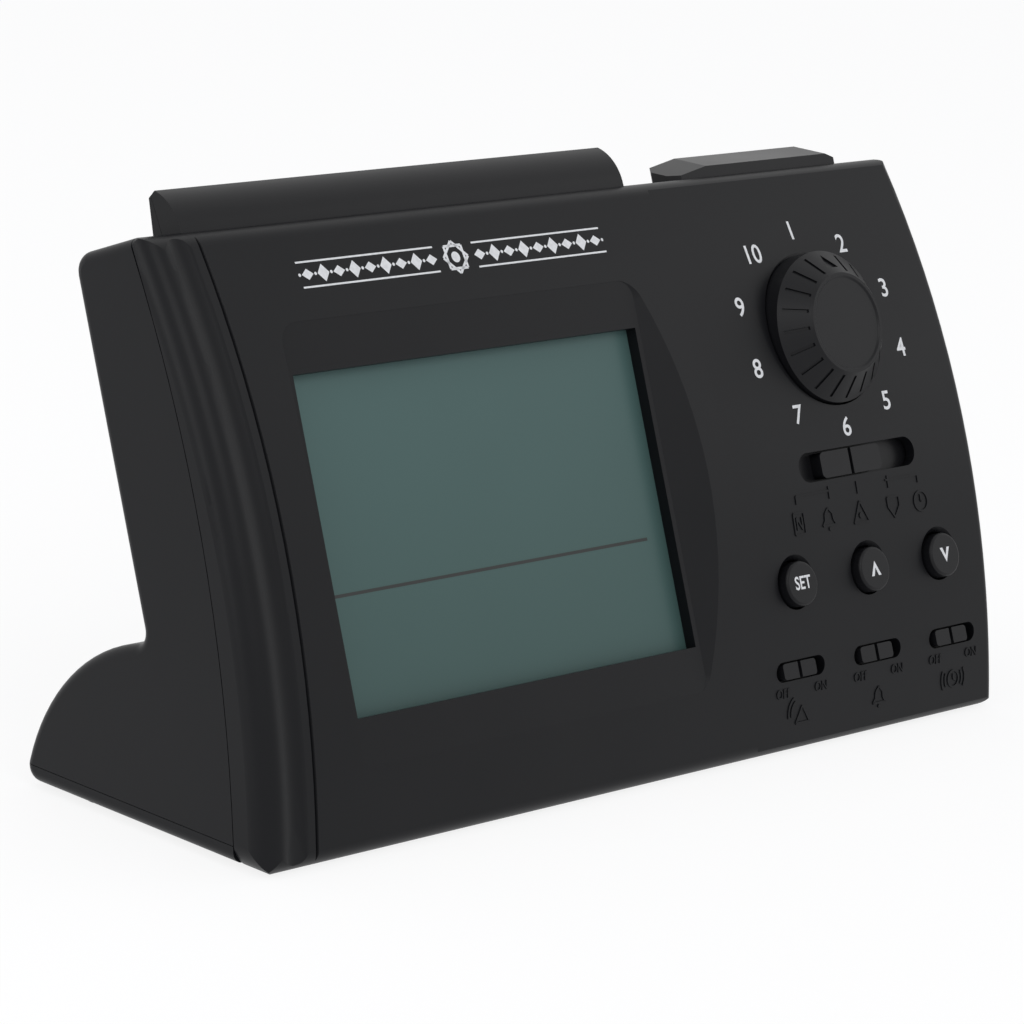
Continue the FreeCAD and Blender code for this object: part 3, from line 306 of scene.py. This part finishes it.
CASE = plastic("case_abs", (0.0045, 0.0048, 0.0060), (0.0060, 0.0062, 0.0074),
               rough=(0.36, 0.42), grain=2200.0, strength=0.10, specular=0.17)
KEYS = plastic("key_abs", (0.0055, 0.0057, 0.0068), (0.0075, 0.0076, 0.0088),
               rough=(0.33, 0.4), grain=2600.0, strength=0.08, specular=0.19)
RUBBER = plastic("rubber_pad", (0.012, 0.012, 0.012), (0.02, 0.02, 0.02),
                 rough=(0.7, 0.85), grain=1400.0, strength=0.25, specular=0.3)
GREY_RUBBER = plastic("rubber_strip", (0.12, 0.12, 0.12), (0.2, 0.2, 0.2),
                      rough=(0.6, 0.8), grain=1800.0, strength=0.2, specular=0.3)
WHITE = plastic("white_abs", (0.62, 0.62, 0.6), (0.72, 0.72, 0.7),
                rough=(0.4, 0.5), grain=1800.0, strength=0.06)
SWITCH = plastic("switch_body", (0.02, 0.02, 0.02), (0.035, 0.035, 0.035),
                 rough=(0.5, 0.6), grain=1500.0, strength=0.12)
FERRITE = plastic("ferrite_ring", (0.03, 0.03, 0.033), (0.055, 0.055, 0.06),
                  rough=(0.6, 0.8), grain=700.0, strength=0.4, specular=0.3)
STEEL = metal("plated_steel", (0.5, 0.5, 0.51), (0.62, 0.62, 0.63),
              rough=(0.22, 0.4), scale=500.0)
SWITCH_STEEL = metal("switch_can", (0.10, 0.10, 0.10), (0.16, 0.16, 0.16),
                     rough=(0.4, 0.55), scale=400.0)
PANEL = display_material()
BOARD = board_material()
CELL = cell_material()
PAPER = cone_material()
WHITE_INK = ink("white_ink", (0.72, 0.73, 0.74), (0.82, 0.83, 0.84))
DARK_INK = ink("dark_ink", (0.006, 0.008, 0.008), (0.012, 0.015, 0.014))

BY_SLOT = {
    "case_black": CASE, "key_black": KEYS, "display": PANEL, "white_plastic": WHITE,
    "rubber_grey": GREY_RUBBER, "rubber_black": RUBBER, "board_green": BOARD, "steel": STEEL,
    "switch_steel": SWITCH_STEEL, "switch_plastic": SWITCH, "paper_black": PAPER, "ferrite": FERRITE,
    "cell_wrap": CELL,
}
for part in frame["record"]["subparts"]:
    node = frame["nodes"][part["node"]]
    for index in range(len(node.material_slots)):
        node.material_slots[index].material = BY_SLOT[part["material_slot"]]


# Printing and moulded signs

def add_piece(name, points, faces, material, body):
    mesh = bpy.data.meshes.new(name)
    mesh.from_pydata(points, [], faces)
    mesh.update()
    mesh.materials.append(material)
    piece = bpy.data.objects.new(name, mesh)
    scene.collection.objects.link(piece)
    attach(piece, body)


def glyphs(text, size, weight):
    """Flat outline of a text, centred, as points and faces."""
    curve = bpy.data.curves.new("text", "FONT")
    curve.body = text
    curve.size = size
    curve.align_x = "CENTER"
    curve.align_y = "CENTER"
    curve.offset = weight
    curve.resolution_u = 4
    holder = bpy.data.objects.new("text", curve)
    scene.collection.objects.link(holder)
    bpy.context.view_layer.update()
    shape = holder.evaluated_get(bpy.context.evaluated_depsgraph_get())
    mesh = bpy.data.meshes.new_from_object(shape)
    points = [(vertex.co.x, vertex.co.y) for vertex in mesh.vertices]
    faces = [tuple(polygon.vertices) for polygon in mesh.polygons]
    bpy.data.objects.remove(holder)
    bpy.data.curves.remove(curve)
    bpy.data.meshes.remove(mesh)
    return points, faces


class Drawing:
    """Flat shapes gathered in (x, v), then laid on a surface as one piece."""

    def __init__(self):
        self.points = []
        self.faces = []

    def add(self, points, faces):
        start = len(self.points)
        self.points.extend(points)
        self.faces.extend(tuple(start + index for index in face) for face in faces)

    def text(self, text, x, v, size, weight=0.0, stretch=1.0):
        points, faces = glyphs(text, size, weight)
        self.add([(x + a * stretch, v + b) for a, b in points], faces)

    def polygon(self, points):
        self.add(points, [tuple(range(len(points)))])

    def line(self, x0, v0, x1, v1, width):
        """A straight bar, cut in steps so that it follows the curve of the face."""
        length = math.hypot(x1 - x0, v1 - v0)
        steps = max(1, int(length / LINE_STEP))
        side_x = -(v1 - v0) / length * width / 2
        side_v = (x1 - x0) / length * width / 2
        points = []
        for i in range(steps + 1):
            t = i / steps
            x = x0 + (x1 - x0) * t
            v = v0 + (v1 - v0) * t
            points.append((x + side_x, v + side_v))
            points.append((x - side_x, v - side_v))
        faces = [(2 * i + 1, 2 * i + 3, 2 * i + 2, 2 * i) for i in range(steps)]
        self.add(points, faces)

    def path(self, points, width):
        for start, end in zip(points, points[1:]):
            self.line(*start, *end, width)

    def sign(self, shape, x, v, size=1.0, closed=True):
        """The strokes of a sign, drawn about (x, v)."""
        points = [(x + a * size, v + b * size) for a, b in shape]
        if closed:
            points.append(points[0])
        self.path(points, SIGN_STROKE)

    def ring(self, x, v, radius, width, start=0.0, end=360.0, steps=28):
        points = []
        for i in range(steps + 1):
            angle = math.radians(start + (end - start) * i / steps)
            for r in (radius + width / 2, radius - width / 2):
                points.append((x + r * math.cos(angle), v + r * math.sin(angle)))
        faces = [(2 * i, 2 * i + 2, 2 * i + 3, 2 * i + 1) for i in range(steps)]
        self.add(points, faces)

    def diamond(self, x, v, half_width, half_height):
        self.polygon([(x + half_width, v), (x, v + half_height), (x - half_width, v), (x, v - half_height)])

    def disc(self, x, v, radius, steps=20):
        angles = [2 * math.pi * i / steps for i in range(steps)]
        self.polygon([(x + radius * math.cos(a), v + radius * math.sin(a)) for a in angles])

    def print_on_face(self, name, material):
        points = [on_face(x, v, PRINT_LIFT) for x, v in self.points]
        add_piece(name, points, self.faces, material, "case")

    def print_flat(self, name, w, material, body):
        points = [world(x, w, v) for x, v in self.points]
        add_piece(name, points, self.faces, material, body)

    def mould_on_face(self, name, material):
        """The shapes as low relief, with sides."""
        count = len(self.points)
        top = [on_face(x, v, RELIEF_HEIGHT) for x, v in self.points]
        foot = [on_face(x, v, RELIEF_ROOT) for x, v in self.points]
        faces = list(self.faces)
        edges = {}
        for face in self.faces:
            for a, b in zip(face, face[1:] + face[:1]):
                key = (min(a, b), max(a, b))
                edges.setdefault(key, []).append((a, b))
        for uses in edges.values():
            if len(uses) == 1:
                a, b = uses[0]
                faces.append((b, a, a + count, b + count))
        add_piece(name, top + foot, faces, material, "case")


def ornament():
    """A plain printed band above the display: a star between rows of lozenges."""
    drawing = Drawing()
    centre = 2.0 + LCD_X
    v = 39.0
    star_radius = 2.5
    star_stroke = 0.42
    heart_radius = 0.85
    first = 5.0
    pitch = 3.1
    half_width = 1.15
    half_heights = (0.85, 1.35)
    dot_radius = 0.26
    rule_start = 4.0
    rule_end = 31.4
    rule_offset = 1.9
    rule_width = 0.28
    for turn in (0.0, 45.0):
        corners = []
        for i in range(5):
            angle = math.radians(turn + 90.0 * i)
            corners.append((centre + star_radius * math.cos(angle), v + star_radius * math.sin(angle)))
        drawing.path(corners, star_stroke)
    drawing.disc(centre, v, heart_radius)
    for side in (-1, 1):
        for i in range(9):
            x = centre + side * (first + pitch * i)
            drawing.diamond(x, v, half_width, half_heights[i % 2])
            drawing.disc(x + side * pitch / 2, v, dot_radius, 10)
        start = centre + side * rule_start
        end = centre + side * rule_end
        for rule_v in (v - rule_offset, v + rule_offset):
            drawing.line(start, rule_v, end, rule_v, rule_width)
    drawing.print_on_face("printed_ornament", WHITE_INK)


def dial_numbers():
    """Plain numbers round the knob, clockwise from the top."""
    drawing = Drawing()
    step = 36.0
    radius_x = 18.2
    radius_v = 16.2
    size = 4.3
    for i in range(10):
        angle = math.radians(step * i)
        x = KNOB_X + radius_x * math.sin(angle)
        v = KNOB_V + radius_v * math.cos(angle)
        drawing.text(str(i + 1), x, v, size, LETTER_WEIGHT)
    drawing.print_on_face("printed_numbers", WHITE_INK)


def display_line():
    """The one dark rule that the blank display shows."""
    drawing = Drawing()
    left = LCD_X - 35.2
    right = LCD_X + 31.5
    v = -7.25
    width = 0.48
    drawing.line(left, v, right, v, width)
    drawing.print_flat("display_rule", GLASS_W - FLAT_PRINT_LIFT, DARK_INK, "case")


def button_signs():
    """The setting button's word and the two arrows."""
    w = face_w(BUTTON_V) - BUTTON_PROUD - FLAT_PRINT_LIFT
    word_size = 2.9
    word_stretch = 0.82
    tip_reach = 1.25
    foot_reach = 1.15
    notch_reach = 0.15
    half = 1.15
    inner = half * 0.45
    word = Drawing()
    word.text("SET", BUTTON_XS[0], BUTTON_V, word_size, LETTER_WEIGHT, word_stretch)
    word.print_flat("set_sign", w, WHITE_INK, "set_button")
    for name, x, sign in (("up", BUTTON_XS[1], 1), ("down", BUTTON_XS[2], -1)):
        arrow = Drawing()
        tip = BUTTON_V + sign * tip_reach
        foot = BUTTON_V - sign * foot_reach
        notch = BUTTON_V + sign * notch_reach
        arrow.polygon([(x, tip), (x - half, foot), (x - inner, foot), (x, notch)])
        arrow.polygon([(x, notch), (x + inner, foot), (x + half, foot), (x, tip)])
        arrow.print_flat(name + "_sign", w, WHITE_INK, name + "_button")


# Strokes of the moulded signs, about their own middle

BOX = ((-1.2, -1.7), (-1.2, 1.7), (1.2, 1.7), (1.2, -1.7))
ZIGZAG = ((-0.6, -1.0), (-0.6, 1.0), (0.6, -1.0), (0.6, 1.0))
BELL = ((-1.0, -0.7), (-0.62, -0.2), (-0.55, 0.45), (0.0, 1.0), (0.55, 0.45), (0.62, -0.2), (1.0, -0.7))
TENT = ((-1.8, -1.6), (0.0, 1.8), (1.8, -1.6))
LOW_TENT = ((-1.6, -1.3), (0.0, 1.3), (1.6, -1.3))
SHIELD = ((-1.4, 1.5), (-1.4, 0.0), (0.0, -1.8), (1.4, 0.0), (1.4, 1.5))
CLOCK_HANDS = ((0.0, 1.1), (0.0, 0.0), (0.8, 0.0))
SMALL_HANDS = ((0.0, 0.8), (0.0, 0.0), (0.6, -0.3))
CLAPPER_DROP = 1.05
CLAPPER_RADIUS = 0.2


def bell(drawing, x, v, size):
    drawing.sign(BELL, x, v, size)
    drawing.disc(x, v - size * CLAPPER_DROP, size * CLAPPER_RADIUS, 12)


def mode_signs():
    """Moulded leader lines from the long slot down to five small signs."""
    drawing = Drawing()
    box_x = 36.0
    bell_x = 43.0
    tent_x = 50.7
    shield_x = 58.8
    clock_x = 65.5
    left_bend = 43.9
    shield_leader = shield_x - 0.6
    right_bend = 57.6
    high = -4.3
    shelf = -5.0
    low = -6.3
    drawing.path([(box_x, low), (box_x, shelf), (left_bend, shelf), (left_bend, high)], SIGN_STROKE)
    drawing.path([(left_bend, shelf), (left_bend, low)], SIGN_STROKE)
    drawing.path([(tent_x, low), (tent_x, high)], SIGN_STROKE)
    drawing.path([(shield_leader, low), (shield_leader, high)], SIGN_STROKE)
    drawing.path([(right_bend, shelf), (clock_x, shelf), (clock_x, low)], SIGN_STROKE)
    v = -9.3
    bell_size = 1.6
    clock_radius = 1.6
    dot_drop = 0.5
    dot_radius = 0.5
    drawing.sign(BOX, box_x, v)
    drawing.sign(ZIGZAG, box_x, v, closed=False)
    bell(drawing, bell_x, v, bell_size)
    drawing.sign(TENT, tent_x, v)
    drawing.disc(tent_x, v - dot_drop, dot_radius)
    drawing.sign(SHIELD, shield_x, v)
    drawing.ring(clock_x, v, clock_radius, SIGN_STROKE)
    drawing.sign(CLOCK_HANDS, clock_x, v, closed=False)
    drawing.mould_on_face("moulded_mode_signs", CASE)


def toggle_signs():
    """Moulded OFF and ON below each small slot, with a sign under them."""
    drawing = Drawing()
    word_v = -35.0
    word_size = 2.1
    word_stretch = 0.9
    for x in TOGGLE_XS:
        drawing.text("OFF", x - 4.3, word_v, word_size, 0.0, word_stretch)
        drawing.text("ON", x + 4.6, word_v, word_size, 0.0, word_stretch)
    v = -38.6
    bell_size = 1.5
    clock_radius = 1.3
    tent_x, bell_x, clock_x = TOGGLE_XS
    drawing.sign(LOW_TENT, tent_x, v)
    for reach in (2.2, 2.9):
        drawing.ring(tent_x - 0.4, v + 0.2, reach, SIGN_STROKE, 120.0, 190.0, 8)
    bell(drawing, bell_x, v, bell_size)
    drawing.ring(clock_x, v, clock_radius, SIGN_STROKE)
    drawing.sign(SMALL_HANDS, clock_x, v, closed=False)
    for reach in (2.1, 2.9):
        for start, end in ((-30.0, 30.0), (150.0, 210.0)):
            drawing.ring(clock_x, v, reach, SIGN_STROKE, start, end, 8)
    drawing.mould_on_face("moulded_switch_signs", CASE)


ornament()
dial_numbers()
display_line()
button_signs()
mode_signs()
toggle_signs()


# Camera

CAMERA_PLACE = (-491.8, -465.2, 205.8)
CAMERA_BACK = (-0.6988, -0.6729, 0.2427)
CAMERA_RIGHT = (0.7046, -0.7060, 0.0713)
CAMERA_LENS = 159.68
SENSOR_WIDTH = 36.0


def make_camera():
    data = bpy.data.cameras.new("camera")
    data.sensor_fit = "HORIZONTAL"
    data.sensor_width = SENSOR_WIDTH
    data.lens = CAMERA_LENS
    data.clip_start = 0.01
    data.clip_end = 20.0
    camera = bpy.data.objects.new("camera", data)
    scene.collection.objects.link(camera)
    back = Vector(CAMERA_BACK).normalized()
    right = Vector(CAMERA_RIGHT)
    right = (right - back * right.dot(back)).normalized()
    up = back.cross(right)
    turn = Matrix((right, up, back)).transposed().to_4x4()
    camera.matrix_world = Matrix.Translation(Vector(CAMERA_PLACE) * MM) @ turn
    scene.camera = camera


make_camera()


# Light and backdrop, in metres and watts

WHITE_LIGHT = (1.0, 1.0, 1.0, 1.0)
COOL = (0.97, 0.98, 1.02, 1.0)
SKY_LOW = 0.75
SKY_HIGH = 0.55
SKY_TOP = 0.8
FLOOR_GLOW = 0.7
FLOOR_WHITE = 0.84
FLOOR_PAPER = (0.2, 0.2, 0.2, 1.0)
FLOOR_HALF = 1.5
FLOOR_Z = -0.0002


def area_light(name, place, target, width, height, power):
    data = bpy.data.lights.new(name, "AREA")
    data.shape = "RECTANGLE"
    data.size = width
    data.size_y = height
    data.energy = power
    lamp = bpy.data.objects.new(name, data)
    scene.collection.objects.link(lamp)
    lamp.location = place
    direction = Vector(target) - Vector(place)
    lamp.rotation_mode = "QUATERNION"
    lamp.rotation_quaternion = direction.to_track_quat("-Z", "Y")


def background_rays(tree):
    """One for rays that should meet the white backdrop: from the camera, glossy or transmitted."""
    path = tree.nodes.new("ShaderNodeLightPath")
    total = path.outputs["Is Camera Ray"]
    for kind in ("Is Glossy Ray", "Is Transmission Ray"):
        either = tree.nodes.new("ShaderNodeMath")
        either.operation = "MAXIMUM"
        tree.links.new(total, either.inputs[0])
        tree.links.new(path.outputs[kind], either.inputs[1])
        total = either.outputs["Value"]
    return total


def show_and_light(tree, output, shown, lighting):
    """The shown shader meets the rays of background_rays, and the other one lights the object."""
    mix = tree.nodes.new("ShaderNodeMixShader")
    tree.links.new(background_rays(tree), mix.inputs["Fac"])
    tree.links.new(lighting, mix.inputs[1])
    tree.links.new(shown, mix.inputs[2])
    tree.links.new(mix.outputs["Shader"], output.inputs["Surface"])


def make_sky():
    """A white world to be seen; for the light, a surround that darkens upwards."""
    sky = bpy.data.worlds.new("surround")
    scene.world = sky
    sky.use_nodes = True
    tree = sky.node_tree
    tree.nodes.clear()
    output = tree.nodes.new("ShaderNodeOutputWorld")
    seen = tree.nodes.new("ShaderNodeBackground")
    seen.inputs["Color"].default_value = WHITE_LIGHT
    seen.inputs["Strength"].default_value = 1.0
    soft = tree.nodes.new("ShaderNodeBackground")
    soft.inputs["Color"].default_value = COOL
    direction = tree.nodes.new("ShaderNodeTexCoord").outputs["Generated"]
    height = axis(tree, direction, "Z")
    tree.links.new(ramp(tree, height, SKY_LOW, SKY_HIGH, 0.0, SKY_TOP), soft.inputs["Strength"])
    show_and_light(tree, output, seen.outputs["Background"], soft.outputs["Background"])


def make_floor():
    """A white sheet that keeps the object's shadow; for the light, an even glow."""
    material = bpy.data.materials.new("white_floor")
    material.use_nodes = True
    tree = material.node_tree
    tree.nodes.clear()
    output = tree.nodes.new("ShaderNodeOutputMaterial")
    white = tree.nodes.new("ShaderNodeEmission")
    white.inputs["Strength"].default_value = FLOOR_WHITE
    sheet = tree.nodes.new("ShaderNodeBsdfDiffuse")
    sheet.inputs["Color"].default_value = FLOOR_PAPER
    both = tree.nodes.new("ShaderNodeAddShader")
    tree.links.new(white.outputs["Emission"], both.inputs[0])
    tree.links.new(sheet.outputs["BSDF"], both.inputs[1])
    glow = tree.nodes.new("ShaderNodeEmission")
    glow.inputs["Color"].default_value = COOL
    glow.inputs["Strength"].default_value = FLOOR_GLOW
    show_and_light(tree, output, both.outputs["Shader"], glow.outputs["Emission"])
    corners = [(-FLOOR_HALF, -FLOOR_HALF, FLOOR_Z), (FLOOR_HALF, -FLOOR_HALF, FLOOR_Z),
               (FLOOR_HALF, FLOOR_HALF, FLOOR_Z), (-FLOOR_HALF, FLOOR_HALF, FLOOR_Z)]
    mesh = bpy.data.meshes.new("floor")
    mesh.from_pydata(corners, [], [(0, 1, 2, 3)])
    mesh.materials.append(material)
    floor = bpy.data.objects.new("floor", mesh)
    scene.collection.objects.link(floor)


make_sky()
make_floor()
area_light("key_light", (-0.35, -0.75, 0.75), (0.0, 0.0, 0.04), width=0.5, height=0.5, power=1.8)
area_light("side_light", (-0.9, 0.1, 0.35), (0.0, 0.0, 0.04), width=0.3, height=0.6, power=1.5)
area_light("top_light", (0.1, 0.25, 0.9), (0.0, 0.0, 0.05), width=0.7, height=0.4, power=0.4)
area_light("right_light", (0.8, -0.5, 0.45), (0.03, 0.0, 0.05), width=0.3, height=0.5, power=0.35)

scene.view_settings.view_transform = "Standard"
